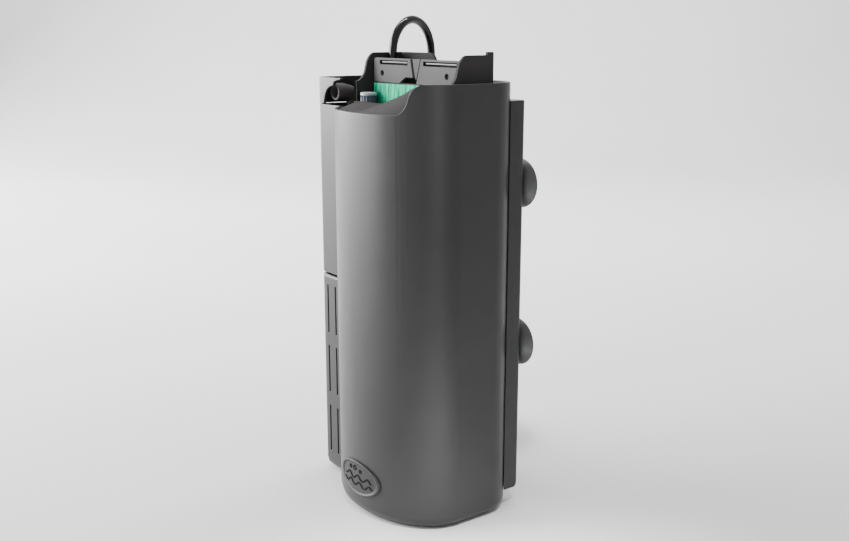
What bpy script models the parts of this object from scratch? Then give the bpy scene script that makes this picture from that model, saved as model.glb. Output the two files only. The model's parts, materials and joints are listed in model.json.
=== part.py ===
"""Internal aquarium filter box: a moulded housing with a rounded front, a slotted intake cover,
a lift-out fleece cartridge, a submersible pump with a swivelling outlet, and suction cups.

Lengths are written in millimetres and become metres in point(). Every piece is placed from
box_frame, whose X = 0 is the middle of the rounded front, whose Y = 0 is the back face of the
mounting plate and whose Z = 0 is the underside of the housing. box_frame itself is set so that the
filter, without its cord, stands centred on the world origin.
"""

import math

import bmesh
import bpy
from mathutils import Matrix, Vector

MM = 0.001
GAP = 0.35

# Housing, seen from above.
BULGE_HALF = 56.5
NOSE_START_Y = -54.0
NOSE_DEPTH = 41.5
BACK_Y = -6.5
BACK_RADIUS = 20.5
WING_LEFT_X = -80.5
WING_FRONT_Y = -72.5
WING_BACK_Y = -16.5
WING_FRONT_RADIUS = 6.0
WING_BACK_RADIUS = 8.0
WALL = 2.2

# Housing, from the side.
FLOOR_RADIUS = 8.0
RIM_Z = 282.0
LIP_Z = 264.0
SCOOP_START_X = 33.0
SCOOP_END_X = 47.0

# Chamber insert: the rectangular well that the cartridge stands in, and its raised collar.
WELL_HALF = 49.75
WELL_FRONT_Y = -64.0
WELL_BACK_Y = -23.5
WELL_WALL = 2.0
WELL_RADIUS = 4.0
WELL_BOTTOM_Z = 90.0
COLLAR_Z = 298.3
POST_Z = 300.0
COLLAR_FOOT_Z = 280.0
COLLAR_FOOT_Y = -60.5
COLLAR_TOP_Y = -46.0
POST_Y = -30.5
NOTCH_LEFT_X = -8.5
NOTCH_RIGHT_X = 42.5
NOTCH_Z = 286.0
DECK_DROP = 0.8
DECK_THICKNESS = 2.0
INNER_LIP_Z = 267.0

# Intake cover.
COVER_TOP_Z = 147.5
COVER_GAP = 1.6
COVER_RIGHT_X = -50.6
COVER_BACK_Y = -50.0
SLOT_WIDTH = 1.4
SLOT_ROWS = ((14.5, 49.3), (59.4, 94.4), (103.7, 138.7))
SLOT_COLUMNS_X = (-77.2, -70.8, -61.1)

# Mounting plate and suction cups.
PLATE_HALF = 51.5
PLATE_BOTTOM_Z = 12.0
PLATE_TOP_Z = 270.5
PLATE_WALL = 2.2
CUP_X = 39.0
CUP_HEIGHTS = (110.0, 216.5)
CUP_RADIUS = 16.0
CUP_NECK_RADIUS = 3.4
CUP_RIM_Y = 8.0

# Cartridge.
FRAME_HALF = 45.5
FRAME_FRONT_Y = -47.0
FRAME_BACK_Y = -41.0
FRAME_BOTTOM_Z = 174.0
FRAME_TOP_Z = 279.0
FLEECE_THICKNESS = 2.5
LEAF_TOP_Z = 295.0
LEAF_HOLE_Z = 285.2
LEAF_HOLE_RADIUS = 1.9

# Pump, lying with its shaft along Y.
PUMP_X = -28.0
PUMP_Z = 26.0
PUMP_HALF = 20.0
PUMP_FRONT_Y = -50.0
PUMP_BACK_Y = -14.0
PUMP_BOTTOM_Z = 8.0
PUMP_TOP_Z = 44.0
ROTOR_WELL_RADIUS = 8.0
ROTOR_WELL_END_Y = -22.0
VOLUTE_RADIUS = 17.0
VOLUTE_FRONT_Y = -66.0
SHAFT_RADIUS = 1.0
STUB_X = -38.0
STUB_Y = -58.5
STUB_TOP_Z = 50.0
PIPE_RADIUS = 6.5
PIPE_BORE = 5.0
OUTLET_X = -64.0
OUTLET_Y = -52.0
RISER_TOP_Z = 258.0
NOZZLE_Z = 272.3
NOZZLE_TIP_Y = -68.0
NOZZLE_RADIUS = 5.6

# Flow dial beside the cartridge.
DIAL_X = -41.5
DIAL_Y = -55.9
DIAL_BOTTOM_Z = 262.0
DIAL_TOP_Z = 273.0
DIAL_RADIUS = 5.5
DIAL_LOBES = 8

# Mains cord. Its coil and plug lie on the floor behind the filter.
CORD_RADIUS = 2.8
CORD_POINT_SPACING = 13.0
GLAND_BOTTOM_Z = PUMP_TOP_Z + GAP
COIL_X = -66.0
COIL_Y = 50.0
COIL_INNER = 18.7
COIL_OUTER = 37.8
COIL_BOTTOM_Z = 0.3
COIL_TOP_Z = 11.8
COIL_EXIT_X = -100.8
PLUG_ENTRY_Y = 22.0
PLUG_LENGTH = 36.0
PLUG_HEIGHT = 13.6
PIN_LENGTH = 19.0
PIN_SPACING = 18.6
# From the gland up the well, over the back of the housing, and down on to the coil.
CORD_ROUTE = (
    (-43.8, -34.5, 66.0),
    (-43.8, -34.5, 78.0),
    (-43.9, -34.5, 110.0),
    (-44.0, -34.5, 160.0),
    (-44.0, -34.5, 210.0),
    (-44.0, -34.5, 258.0),
    (-44.0, -34.5, 284.0),
    (-44.0, -34.5, 296.6),
    (-44.6, -32.8, 305.4),
    (-46.2, -28.1, 312.9),
    (-48.6, -21.1, 317.8),
    (-51.4, -12.8, 319.6),
    (-54.2, -4.4, 317.8),
    (-56.6, 2.6, 312.9),
    (-58.2, 7.3, 305.4),
    (-58.8, 9.0, 296.6),
    (-58.8, 9.0, 284.0),
    (-58.8, 9.0, 240.0),
    (-58.8, 9.0, 170.0),
    (-58.8, 9.0, 100.0),
    (-58.8, 9.0, 60.0),
    (-58.8, 9.0, 36.0),
    (-58.2, 9.5, 25.7),
    (-56.6, 11.1, 20.2),
    (-53.3, 14.2, 14.7),
)
CORD_TAIL_ROUTE = (
    (COIL_EXIT_X, 29.2, 6.6),
    (COIL_EXIT_X, PLUG_ENTRY_Y + 2 * GAP, 6.9),
)

# Badge on the rounded front.
BADGE_Z = 25.0
BADGE_HALF_WIDTH = 22.0
BADGE_HALF_HEIGHT = 11.5
BADGE_PROUD = 1.6

DEPTH_FRONT_Y = NOSE_START_Y - NOSE_DEPTH - BADGE_PROUD
FRAME_X = -(BULGE_HALF + WING_LEFT_X) / 2
FRAME_Y = -(DEPTH_FRONT_Y + CUP_RIM_Y) / 2


def clear_scene():
    for obj in list(bpy.data.objects):
        bpy.data.objects.remove(obj)


def make_material(name, color, roughness, metallic=0.0):
    material = bpy.data.materials.new(name)
    material.use_nodes = True
    shader = material.node_tree.nodes["Principled BSDF"]
    shader.inputs["Base Color"].default_value = (*color, 1.0)
    shader.inputs["Roughness"].default_value = roughness
    shader.inputs["Metallic"].default_value = metallic
    return material


def point(x, y, z):
    return Vector((x, y, z)) * MM


# ---------------------------------------------------------------- mesh helpers


def finish_mesh(name, mesh_data, material, pivot=(0.0, 0.0, 0.0)):
    """Makes the object from a bmesh in box coordinates, with its origin at pivot."""
    bmesh.ops.recalc_face_normals(mesh_data, faces=mesh_data.faces)
    mesh = bpy.data.meshes.new(name)
    mesh_data.to_mesh(mesh)
    mesh_data.free()
    mesh.transform(Matrix.Translation(-point(*pivot)))
    obj = bpy.data.objects.new(name, mesh)
    bpy.context.scene.collection.objects.link(obj)
    obj.parent = box_frame
    obj.location = point(*pivot)
    if material is not None:
        mesh.materials.append(material)
        mesh.shade_smooth()
        mesh.set_sharp_from_angle(angle=math.radians(35))
    return obj


def loft(name, loops, material, wrap=False, pivot=(0.0, 0.0, 0.0)):
    """Joins loops of equal length in order. wrap joins the last to the first, else both are capped."""
    mesh_data = bmesh.new()
    rings = [[mesh_data.verts.new(point(*p)) for p in loop] for loop in loops]
    count = len(loops[0])
    pairs = list(zip(rings, rings[1:] + rings[:1])) if wrap else list(zip(rings, rings[1:]))
    for lower, upper in pairs:
        for i in range(count):
            j = (i + 1) % count
            mesh_data.faces.new((lower[i], lower[j], upper[j], upper[i]))
    if not wrap:
        mesh_data.faces.new(rings[0])
        mesh_data.faces.new(rings[-1])
    return finish_mesh(name, mesh_data, material, pivot)


def prism(name, outline, low, high, material, axis="Z", pivot=(0.0, 0.0, 0.0)):
    """Extrudes an outline. Its two coordinates are (x, y) for axis Z, (x, z) for Y and (y, z) for X."""
    places = {
        "Z": lambda a, b, c: (a, b, c),
        "Y": lambda a, b, c: (a, c, b),
        "X": lambda a, b, c: (c, a, b),
    }[axis]
    loops = [[places(a, b, height) for a, b in outline] for height in (low, high)]
    return loft(name, loops, material, pivot=pivot)


def block(name, x, y, z, material, pivot=(0.0, 0.0, 0.0)):
    outline = [(x[0], y[0]), (x[1], y[0]), (x[1], y[1]), (x[0], y[1])]
    return prism(name, outline, z[0], z[1], material, pivot=pivot)


def ring_loop(centre, radius, height, axis, segments):
    """A circle round centre, given in the two coordinates that axis leaves over, at that height."""
    loop = []
    for i in range(segments):
        angle = 2 * math.pi * i / segments
        a = centre[0] + radius * math.cos(angle)
        b = centre[1] + radius * math.sin(angle)
        loop.append((a, b, height) if axis == "Z" else (a, height, b))
    return loop


def turned(name, centre, profile, material, axis="Z", segments=20, bored=False, pivot=(0.0, 0.0, 0.0)):
    """Turns (radius, height) points. bored joins the last point to the first, so the axis stays open."""
    loops = [ring_loop(centre, radius, height, axis, segments) for radius, height in profile]
    return loft(name, loops, material, wrap=bored, pivot=pivot)


def cutter(obj):
    obj.hide_render = True
    obj.display_type = "WIRE"
    return obj


def combine(obj, tool, operation="DIFFERENCE"):
    """Applies a Boolean at once, and removes the tool."""
    modifier = obj.modifiers.new("combine", "BOOLEAN")
    modifier.operation = operation
    modifier.object = cutter(tool)
    bpy.context.view_layer.update()
    graph = bpy.context.evaluated_depsgraph_get()
    mesh = bpy.data.meshes.new_from_object(obj.evaluated_get(graph))
    obj.modifiers.clear()
    obj.data = mesh
    bpy.data.objects.remove(tool)
    mesh.shade_smooth()
    mesh.set_sharp_from_angle(angle=math.radians(35))
    return obj


def arc(centre, radius, start, end, steps):
    """Points on a circle from one angle to another, in degrees."""
    angles = [math.radians(start + (end - start) * i / steps) for i in range(steps + 1)]
    return [(centre[0] + radius * math.cos(a), centre[1] + radius * math.sin(a)) for a in angles]


def rounded_rectangle(x, y, radius, steps=3):
    outline = []
    for cx, cy, start in (
        (x[1] - radius, y[0] + radius, -90),
        (x[1] - radius, y[1] - radius, 0),
        (x[0] + radius, y[1] - radius, 90),
        (x[0] + radius, y[0] + radius, 180),
    ):
        outline += arc((cx, cy), radius, start, start + 90, steps)
    return outline


def smooth_step(x, start, end):
    t = min(1.0, max(0.0, (x - start) / (end - start)))
    return t * t * (3 - 2 * t)


def spline(points, spacing):
    """Points about spacing apart on a smooth curve through the given ones (centripetal Catmull-Rom)."""
    knots = [Vector(p) for p in points]
    knots = [2 * knots[0] - knots[1]] + knots + [2 * knots[-1] - knots[-2]]
    dense = []
    for p0, p1, p2, p3 in zip(knots, knots[1:], knots[2:], knots[3:]):
        t1 = (p1 - p0).length ** 0.5
        t2 = t1 + (p2 - p1).length ** 0.5
        t3 = t2 + (p3 - p2).length ** 0.5
        for i in range(24):
            t = t1 + (t2 - t1) * i / 24
            a1 = p0.lerp(p1, t / t1)
            a2 = p1.lerp(p2, (t - t1) / (t2 - t1))
            a3 = p2.lerp(p3, (t - t2) / (t3 - t2))
            b1 = a1.lerp(a2, t / t2)
            b2 = a2.lerp(a3, (t - t1) / (t3 - t1))
            dense.append(b1.lerp(b2, (t - t1) / (t2 - t1)))
    dense.append(knots[-2])
    lengths = [0.0]
    for a, b in zip(dense, dense[1:]):
        lengths.append(lengths[-1] + (b - a).length)
    count = max(2, round(lengths[-1] / spacing))
    spaced, j = [], 0
    for i in range(count + 1):
        goal = lengths[-1] * i / count
        while j < len(dense) - 2 and lengths[j + 1] < goal:
            j += 1
        span = max(lengths[j + 1] - lengths[j], 1e-9)
        spaced.append(dense[j].lerp(dense[j + 1], min(1.0, (goal - lengths[j]) / span)))
    return spaced


def swept(name, path, radius, material, bore=None, segments=12, pivot=(0.0, 0.0, 0.0)):
    """A round rod along path, or a pipe if bore is given, with its rings turned as little as they can."""
    tangents = [
        (path[min(i + 1, len(path) - 1)] - path[max(i - 1, 0)]).normalized() for i in range(len(path))
    ]
    side = tangents[0].orthogonal().normalized()
    frames = []
    for tangent in tangents:
        side = (side - tangent * side.dot(tangent)).normalized()
        frames.append((side.copy(), tangent.cross(side)))

    def rings(size):
        return [
            [
                tuple(centre + size * (math.cos(a) * u + math.sin(a) * v))
                for a in (2 * math.pi * k / segments for k in range(segments))
            ]
            for centre, (u, v) in zip(path, frames)
        ]

    if bore is None:
        return loft(name, rings(radius), material, pivot=pivot)
    return loft(name, rings(radius) + rings(bore)[::-1], material, wrap=True, pivot=pivot)


# ---------------------------------------------------------------- housing outline


def nose_outline(inset, steps=40):
    """The elliptical front, from the wing's front face round to the right flank."""
    half, depth = BULGE_HALF - inset, NOSE_DEPTH - inset
    start = -math.acos((NOSE_START_Y - WING_FRONT_Y - inset) / depth)
    angles = [start + (math.pi / 2 - start) * i / steps for i in range(steps + 1)]
    return [(half * math.sin(t), NOSE_START_Y - depth * math.cos(t)) for t in angles]


def back_outline(inset):
    """The right back corner and the left one, which ends at the wing's back face."""
    radius = BACK_RADIUS - inset
    centre_y = BACK_Y - BACK_RADIUS
    end = 180 - math.degrees(math.asin((WING_BACK_Y - inset - centre_y) / radius))
    right = arc((BULGE_HALF - BACK_RADIUS, centre_y), radius, 0, 90, 6)
    left = arc((BACK_RADIUS - BULGE_HALF, centre_y), radius, 90, end, 4)
    return right + left


def wing_outline(inset):
    """The left back corner of the wing and its left front corner."""
    back = max(WING_BACK_RADIUS - inset, 0.5)
    front = max(WING_FRONT_RADIUS - inset, 0.5)
    left = WING_LEFT_X + inset
    back_arc = arc((left + back, WING_BACK_Y - inset - back), back, 90, 180, 4)
    front_arc = arc((left + front, WING_FRONT_Y + inset + front), front, 180, 270, 4)
    return back_arc + front_arc


def housing_outline(inset):
    return nose_outline(inset) + back_outline(inset) + wing_outline(inset)


def steep_step(value, low, high):
    """An S from 0 to 1 with round ends and a steep middle, between smooth_step and two arcs."""
    t = min(1.0, max(0.0, (value - low) / (high - low)))
    if t < 0.5:
        arcs = 0.5 * (1 - math.sqrt(1 - 4 * t * t))
    else:
        arcs = 0.5 * (1 + math.sqrt(1 - 4 * (1 - t) * (1 - t)))
    return 0.35 * smooth_step(value, low, high) + 0.65 * arcs


def lip_height(x):
    """Height of the housing's front edge: low at the left, then up an S to the rim."""
    return LIP_Z + (RIM_Z - LIP_Z) * steep_step(x, SCOOP_START_X, SCOOP_END_X)


def inner_lip_height(x):
    """Height of the well's front wall, whose S lies further left and is longer."""
    return INNER_LIP_Z + 4.6 * smooth_step(x, -6, 3) + 9.2 * smooth_step(x, -3, 32)


def closed_housing(name, material):
    """The whole housing wall and floor, before any opening is cut."""
    loops = []
    for i in range(4):
        turn = math.radians(30 * i)
        inset = FLOOR_RADIUS * (1 - math.sin(turn))
        height = FLOOR_RADIUS * (1 - math.cos(turn))
        loops.append([(x, y, height) for x, y in housing_outline(inset)])
    loops.append([(x, y, RIM_Z) for x, y in housing_outline(0)])
    loops.append([(x, y, RIM_Z) for x, y in housing_outline(WALL)])
    loops.append([(x, y, FLOOR_RADIUS) for x, y in housing_outline(WALL)])
    loops.append([(x, y, WALL) for x, y in housing_outline(FLOOR_RADIUS - 1)])
    return loft(name, loops, material)


# ---------------------------------------------------------------- housing pieces


def make_shell_body():
    shell = closed_housing("shell_body", graphite)
    steps = [SCOOP_START_X + (SCOOP_END_X - SCOOP_START_X) * i / 18 for i in range(19)]
    scoop = [(WING_LEFT_X, LIP_Z)] + [(x, lip_height(x)) for x in steps]
    scoop += [(SCOOP_END_X, RIM_Z + 20), (WING_LEFT_X, RIM_Z + 20)]
    combine(shell, prism("scoop", scoop, -110, WELL_FRONT_Y + 5, None, axis="Y"))
    combine(shell, block("wing_top", (-90, -52), (-80, -10), (LIP_Z, RIM_Z + 20), None))
    combine(shell, block("cover_gap", (-90, COVER_RIGHT_X), (-80, COVER_BACK_Y), (-5, COVER_TOP_Z), None))


def make_intake_cover():
    cover = closed_housing("intake_cover", graphite)
    region = block(
        "cover_region",
        (-90, COVER_RIGHT_X - GAP),
        (-80, COVER_BACK_Y - GAP),
        (-5, COVER_TOP_Z - COVER_GAP),
        None,
    )
    combine(cover, region, "INTERSECT")
    top = COVER_TOP_Z - COVER_GAP
    edge = 1.4
    front = [(-75, top - edge - 2.5), (-75, top + 1), (WING_FRONT_Y + edge + 1, top + 1)]
    combine(cover, prism("front_chamfer", front, -90, -40, None, axis="X"))
    side = [(-83, top - edge - 2.5), (WING_LEFT_X + edge + 1, top + 1), (-83, top + 1)]
    combine(cover, prism("side_chamfer", side, -80, COVER_BACK_Y + 5, None, axis="Y"))
    for low, high in SLOT_ROWS:
        for x in SLOT_COLUMNS_X:
            slot = block("slot", (x - SLOT_WIDTH / 2, x + SLOT_WIDTH / 2), (-78, -67), (low, high), None)
            combine(cover, slot)


def make_outlet_cowl():
    """The wing's top edge, open at the front for the water outlet."""
    outer = [(-52.2, WING_BACK_Y)] + wing_outline(0) + [(-50.0, WING_FRONT_Y)]
    inner = [(-52.2, WING_BACK_Y - WALL)] + wing_outline(WALL) + [(-50.0, WING_FRONT_Y + WALL)]
    cowl = prism("outlet_cowl", outer + inner[::-1], LIP_Z + GAP, RIM_Z, graphite)
    mouth = [(-49, LIP_Z - 5), (-71, LIP_Z - 5), (-71, LIP_Z + 1.5)]
    mouth += arc((-59.5, LIP_Z + 1.5), 11.0, 172, 96, 6)
    mouth += [(-59.2, 276.8), (-57.6, 279.4), (-54.0, 280.4), (-49, 281.0)]
    combine(cowl, prism("mouth", mouth, -76, -68, None, axis="Y"))


def deck_station(outer):
    """A cross-section of the deck, from the housing wall to the well, as four points."""
    radius = WELL_RADIUS - 1
    core_x = min(WELL_HALF - WELL_RADIUS, max(WELL_RADIUS - WELL_HALF, outer[0]))
    core_y = min(WELL_BACK_Y - WELL_RADIUS, max(WELL_FRONT_Y + WELL_RADIUS, outer[1]))
    out = Vector((outer[0] - core_x, outer[1] - core_y)).normalized() * radius
    inner = (core_x + out.x, core_y + out.y)
    high = RIM_Z - DECK_DROP
    on_front = outer[1] < NOSE_START_Y
    z_outer = lip_height(outer[0]) - DECK_DROP if on_front else high
    z_inner = min(high, inner_lip_height(inner[0])) if on_front else high
    return [
        (*outer, z_outer),
        (*inner, z_inner),
        (*inner, z_inner - DECK_THICKNESS),
        (*outer, z_outer - DECK_THICKNESS),
    ]


def make_chamber_insert():
    well_x = (-WELL_HALF, WELL_HALF)
    well_y = (WELL_FRONT_Y, WELL_BACK_Y)
    outer = rounded_rectangle(well_x, well_y, WELL_RADIUS)
    inner = rounded_rectangle(
        (well_x[0] + WELL_WALL, well_x[1] - WELL_WALL),
        (well_y[0] + WELL_WALL, well_y[1] - WELL_WALL),
        WELL_RADIUS - WELL_WALL,
    )
    loops = [
        [(x, y, z) for x, y in outline]
        for outline, z in (
            (outer, WELL_BOTTOM_Z),
            (outer, POST_Z),
            (inner, POST_Z),
            (inner, WELL_BOTTOM_Z),
        )
    ]
    insert = loft("chamber_insert", loops, graphite, wrap=True)

    collar = [(-75, COLLAR_FOOT_Z)]
    for i in range(17):
        y = COLLAR_FOOT_Y + (COLLAR_TOP_Y - COLLAR_FOOT_Y) * i / 16
        rise = steep_step(y, COLLAR_FOOT_Y, COLLAR_TOP_Y)
        collar.append((y, COLLAR_FOOT_Z + (COLLAR_Z - COLLAR_FOOT_Z) * rise))
    collar += [(POST_Y, COLLAR_Z), (POST_Y, POST_Z + 20), (-75, POST_Z + 20)]
    combine(insert, prism("collar", collar, -60, 60, None, axis="X"))

    back_left = block("back_left", (-60, NOTCH_LEFT_X - 2), (-35, -20), (COLLAR_Z, POST_Z + 20), None)
    combine(insert, back_left)
    notch = arc((NOTCH_LEFT_X - 7.5, COLLAR_Z - 7.5), 7.5, 90, 0, 5)
    notch += [
        (NOTCH_LEFT_X, NOTCH_Z),
        (NOTCH_RIGHT_X, NOTCH_Z),
        (NOTCH_RIGHT_X, POST_Z + 20),
        (NOTCH_LEFT_X - 7.5, POST_Z + 20),
    ]
    combine(insert, prism("back_notch", notch, -30, -18, None, axis="Y"))

    right = WELL_HALF - WELL_WALL + 0.05
    front = [(-right, INNER_LIP_Z)]
    front += [(x, inner_lip_height(x)) for x in range(-8, 34, 2)]
    front += [(right, inner_lip_height(right)), (right, POST_Z), (-right, POST_Z)]
    combine(insert, prism("front_scoop", front, -70, WELL_FRONT_Y + WELL_WALL + 0.1, None, axis="Y"))

    edge = WALL + GAP
    path = [p for p in nose_outline(edge) if p[0] > WELL_RADIUS - WELL_HALF] + back_outline(edge)
    deck = loft("deck", [deck_station(p) for p in path], None)
    combine(insert, deck, "UNION")


def make_mounting_plate():
    """A shallow tray behind the housing, whose front edge follows the housing's back corners."""
    centre = (BULGE_HALF - BACK_RADIUS, BACK_Y - BACK_RADIUS)
    radius = BACK_RADIUS + GAP
    end = math.degrees(math.acos((PLATE_HALF - centre[0]) / radius))
    right = arc(centre, radius, 90, end, 5)
    left = [(-x, y) for x, y in reversed(right)]
    back = arc((PLATE_HALF - 3, -3), 3, 0, 90, 3) + arc((3 - PLATE_HALF, -3), 3, 90, 180, 3)
    plate = prism("mounting_plate", back + left + right, PLATE_BOTTOM_Z, PLATE_TOP_Z, graphite)
    inside = block(
        "inside",
        (PLATE_WALL - PLATE_HALF, PLATE_HALF - PLATE_WALL),
        (-40, -PLATE_WALL),
        (PLATE_BOTTOM_Z + PLATE_WALL, PLATE_TOP_Z - PLATE_WALL),
        None,
    )
    combine(plate, inside)
    for x in (-CUP_X, CUP_X):
        for z in CUP_HEIGHTS:
            hole = turned(
                "hole",
                (x, z),
                [(CUP_NECK_RADIUS + GAP, -8), (CUP_NECK_RADIUS + GAP, 4)],
                None,
                axis="Y",
            )
            combine(plate, hole)


def make_suction_cups():
    profile = [
        (5.4, -5.6),
        (5.4, -PLATE_WALL - GAP),
        (CUP_NECK_RADIUS, -PLATE_WALL - GAP),
        (CUP_NECK_RADIUS, GAP),
        (7.0, GAP),
        (12.5, 2.4),
        (CUP_RADIUS, CUP_RIM_Y - 0.6),
        (CUP_RADIUS, CUP_RIM_Y),
        (CUP_RADIUS - 1.4, CUP_RIM_Y),
        (11.0, CUP_RIM_Y - 2.6),
        (4.0, CUP_RIM_Y - 4.2),
    ]
    number = 0
    for z in CUP_HEIGHTS:
        for x in (-CUP_X, CUP_X):
            number += 1
            turned(f"suction_cup_{number}", (x, z), profile, rubber, axis="Y", segments=24)


def make_badge():
    """An oval plate that follows the rounded front."""
    mesh_data = bmesh.new()

    def nose_y(x):
        return NOSE_START_Y - NOSE_DEPTH * math.sqrt(1 - (x / BULGE_HALF) ** 2)

    def face(offset, share):
        ring = []
        for i in range(32):
            angle = 2 * math.pi * i / 32
            x = BADGE_HALF_WIDTH * share * math.cos(angle)
            z = BADGE_Z + BADGE_HALF_HEIGHT * share * math.sin(angle)
            ring.append(mesh_data.verts.new(point(x, nose_y(x) - offset, z)))
        return ring

    back = [face(GAP, share) for share in (0.35, 0.7, 1.0)]
    front = [face(BADGE_PROUD, share) for share in (0.96, 0.7, 0.35)]
    rings = back + [face(BADGE_PROUD - 0.5, 1.0)] + front
    for lower, upper in zip(rings, rings[1:]):
        for i in range(32):
            j = (i + 1) % 32
            mesh_data.faces.new((lower[i], lower[j], upper[j], upper[i]))
    mesh_data.faces.new(rings[0])
    mesh_data.faces.new(rings[-1])
    finish_mesh("badge", mesh_data, graphite)


# ---------------------------------------------------------------- cartridge


def make_cartridge():
    frame = block(
        "cartridge_frame",
        (-FRAME_HALF, FRAME_HALF),
        (FRAME_FRONT_Y, FRAME_BACK_Y),
        (FRAME_BOTTOM_Z, FRAME_TOP_Z),
        grey,
    )
    border = 4.0
    for side in (-1, 1):
        x = sorted((side * 1.5, side * (FRAME_HALF - border)))
        z = (FRAME_BOTTOM_Z + border, FRAME_TOP_Z - border)
        combine(frame, block("window", x, (-55, -35), z, None))
        block(
            "carbon_pad_left" if side < 0 else "carbon_pad_right",
            (x[0] + GAP, x[1] - GAP),
            (FRAME_FRONT_Y + 0.5, FRAME_BACK_Y - 0.5),
            (z[0] + GAP, z[1] - GAP),
            carbon,
        )
    pad_z = (FRAME_BOTTOM_Z + 1, FRAME_TOP_Z - GAP)
    front = FRAME_FRONT_Y - GAP
    back = FRAME_BACK_Y + GAP
    block("fleece_front", (-45.2, 45.2), (front - FLEECE_THICKNESS, front), pad_z, fleece)
    block("fleece_rear", (-45.2, 45.2), (back, back + FLEECE_THICKNESS), pad_z, fleece)


def make_leaf(name, outline, slot, hole_x):
    leaf = prism(name, outline, -48.3, -46.1, grey, axis="Y")
    combine(leaf, block("grip_slot", slot, (-50, -44), (290.8, 293.6), None))
    hole = [(LEAF_HOLE_RADIUS, -50), (LEAF_HOLE_RADIUS, -44)]
    combine(leaf, turned("hole", (hole_x, LEAF_HOLE_Z), hole, None, axis="Y", segments=16))


def make_handle():
    bottom = FRAME_TOP_Z + GAP
    left = [
        (-46.0, bottom),
        (-17.5, bottom),
        (-10.5, 283.2),
        (-2.2, 283.2),
        (-5.2, LEAF_TOP_Z),
        (-44.6, LEAF_TOP_Z),
        (-46.0, 293.4),
    ]
    right = [
        (1.2, bottom),
        (46.0, bottom),
        (46.0, 293.4),
        (44.6, LEAF_TOP_Z),
        (6.2, LEAF_TOP_Z),
    ]
    make_leaf("handle_leaf_left", left, (-39.2, -8.0), -36.5)
    make_leaf("handle_leaf_right", right, (8.6, 42.6), 32.5)
    clasp = [(0.4, 281.6), (4.7, LEAF_TOP_Z), (-3.7, LEAF_TOP_Z), (-1.2, 284.2)]
    prism("handle_clasp", clasp, -47.6, -46.5, grey, axis="Y")


# ---------------------------------------------------------------- pump


def pump_turned(name, profile, material, **more):
    return turned(name, (PUMP_X, PUMP_Z), profile, material, axis="Y", **more)


def make_pump():
    body_outline = rounded_rectangle(
        (PUMP_X - PUMP_HALF, PUMP_X + PUMP_HALF), (PUMP_BOTTOM_Z, PUMP_TOP_Z), 5.0
    )
    body = prism("pump_body", body_outline, PUMP_FRONT_Y, PUMP_BACK_Y, black, axis="Y")
    well = [(ROTOR_WELL_RADIUS, PUMP_FRONT_Y - 5), (ROTOR_WELL_RADIUS, ROTOR_WELL_END_Y)]
    combine(body, pump_turned("rotor_well", well, None))

    seat = PUMP_FRONT_Y - GAP
    cover = pump_turned("pump_cover", [(VOLUTE_RADIUS, seat), (VOLUTE_RADIUS, VOLUTE_FRONT_Y)], black)
    stub = [(PIPE_RADIUS, PUMP_Z + 6), (PIPE_RADIUS, STUB_TOP_Z)]
    combine(cover, turned("stub", (STUB_X, STUB_Y), stub, None, segments=16), "UNION")
    chamber = [(VOLUTE_RADIUS - 2, seat + 5), (VOLUTE_RADIUS - 2, VOLUTE_FRONT_Y + 2)]
    combine(cover, pump_turned("volute_chamber", chamber, None))
    inlet = [(6.0, VOLUTE_FRONT_Y - 5), (6.0, VOLUTE_FRONT_Y + 5)]
    combine(cover, pump_turned("inlet", inlet, None))
    bore = [(PIPE_BORE, PUMP_Z + 4), (PIPE_BORE, STUB_TOP_Z + 5)]
    combine(cover, turned("stub_bore", (STUB_X, STUB_Y), bore, None, segments=16))

    for number, (x, y) in enumerate(((-43, -45), (-13, -45), (-43, -22), (-13, -22)), 1):
        foot = [(4.2, WALL + 0.4), (3.4, 5.0), (3.0, PUMP_BOTTOM_Z - GAP)]
        turned(f"pump_foot_{number}", (x, y), foot, rubber, segments=12)


def make_impeller():
    hub = 1.4
    axis_point = (PUMP_X, -40.0, PUMP_Z)
    magnet = [(hub, -49.0), (6.9, -49.0), (6.9, -24.6), (hub, -24.6)]
    pump_turned("rotor_magnet", magnet, ferrite, bored=True, pivot=axis_point)
    wheel = pump_turned(
        "impeller_wheel",
        [(hub, -52.6), (12.0, -52.6), (12.0, -51.4), (4.6, -51.4), (4.6, -49.4), (hub, -49.4)],
        white,
        bored=True,
        pivot=axis_point,
    )
    for i in range(6):
        angle = math.radians(60 * i)
        along = Vector((math.cos(angle), math.sin(angle)))
        across = Vector((-along.y, along.x)) * 0.7
        inner, outer = along * 3.0, along * 11.6
        corners = [inner - across, outer - across, outer + across, inner + across]
        outline = [(PUMP_X + c.x, PUMP_Z + c.y) for c in corners]
        blade = prism("blade", outline, -60.5, -52.0, None, axis="Y", pivot=axis_point)
        combine(wheel, blade, "UNION")
    pump_turned(
        "impeller_shaft", [(SHAFT_RADIUS, -65.4), (SHAFT_RADIUS, -22.5)], ceramic, segments=12
    )


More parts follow.
